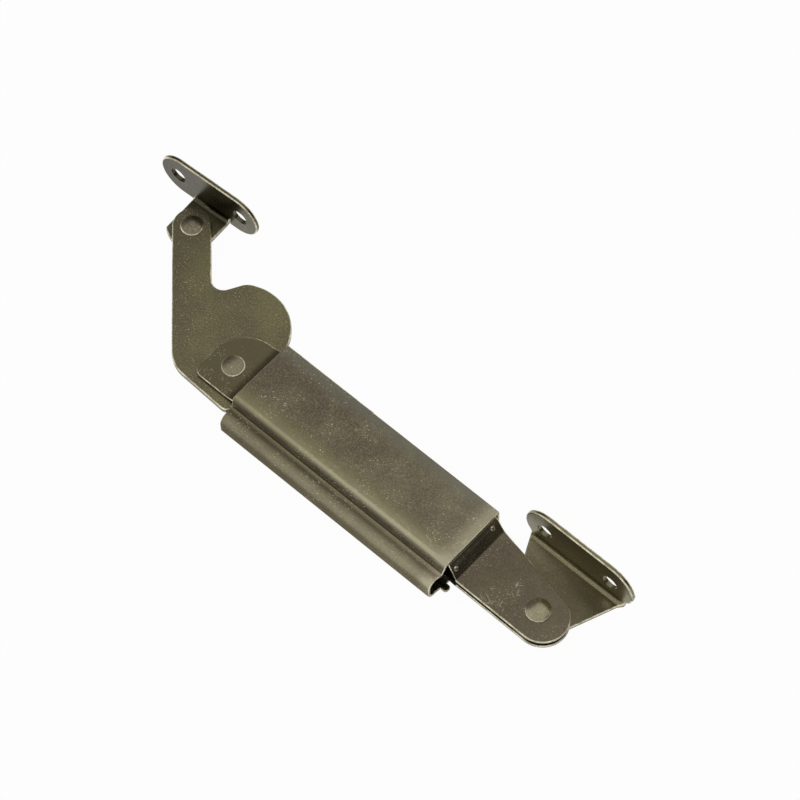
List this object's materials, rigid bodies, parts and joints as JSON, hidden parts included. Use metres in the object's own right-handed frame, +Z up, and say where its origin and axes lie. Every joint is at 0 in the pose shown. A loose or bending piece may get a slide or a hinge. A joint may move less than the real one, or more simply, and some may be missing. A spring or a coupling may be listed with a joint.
{
  "type": "lid stay",
  "caption": "Spring-loaded lid stay: a folded sheet housing, a cam arm that swings out of it, and two L-shaped brackets with round-ended screw flanges.",
  "frame": {"origin": "middle of the body bracket's two screw holes, on the outer face of its flange", "axes": "+X along the housing from the cam pivot to the body bracket, +Y out of the body flange towards the cabinet wall, +Z up out of the front plate; the stay lies on the back of its cover"},
  "size_m": [0.2147, 0.0584, 0.0236],
  "materials": {
    "aged_brass": "dark satin plating, worn edges",
    "aged_brass_cover": "dark satin plating, pitted and scratched",
    "aged_brass_rivet": "dark plating, bright rim",
    "moulded_black": "matte",
    "spring_wire": "drawn wire"
  },
  "bodies": {
    "housing": {"front_plate": "aged_brass", "rear_plate": "aged_brass", "cover": "aged_brass_cover", "cam_pivot_rivet": "aged_brass_rivet", "spring_seat": "moulded_black", "spring_1": "spring_wire", "spring_2": "spring_wire", "body_rivet": "aged_brass_rivet"},
    "arm": {"cam_arm": "aged_brass", "lid_rivet": "aged_brass_rivet"},
    "lid_side": {"lid_bracket": "aged_brass"},
    "follower": {"cam_follower": "moulded_black"},
    "body_side": {"body_bracket": "aged_brass"}
  },
  "joints": [
    {"name": "arm_turn", "type": "hinge", "parent": "housing", "child": "arm", "pos_m": [-0.12575, -0.02, -0.0082], "axis": [0, 0, -1], "range_deg": [0, 102]},
    {"name": "follower_slide", "type": "slide", "parent": "housing", "child": "follower", "axis": [1, 0, 0], "range_m": [0, 0.022], "deforming": ["spring_1", "spring_2"]},
    {"name": "lid_bracket_turn", "type": "hinge", "parent": "arm", "child": "lid_side", "pos_m": [-0.17162, 0.00934, -0.0082], "axis": [0, 0, 1], "range_deg": [-10, 135]},
    {"name": "body_bracket_turn", "type": "hinge", "parent": "housing", "child": "body_side", "pos_m": [0.00095, -0.0203, -0.0082], "axis": [0, 0, 1], "range_deg": [-90, 10]}
  ],
  "couplings": [
    {"joint": "follower_slide", "follows": "arm_turn", "m_per_rad": 0.012302}
  ]
}
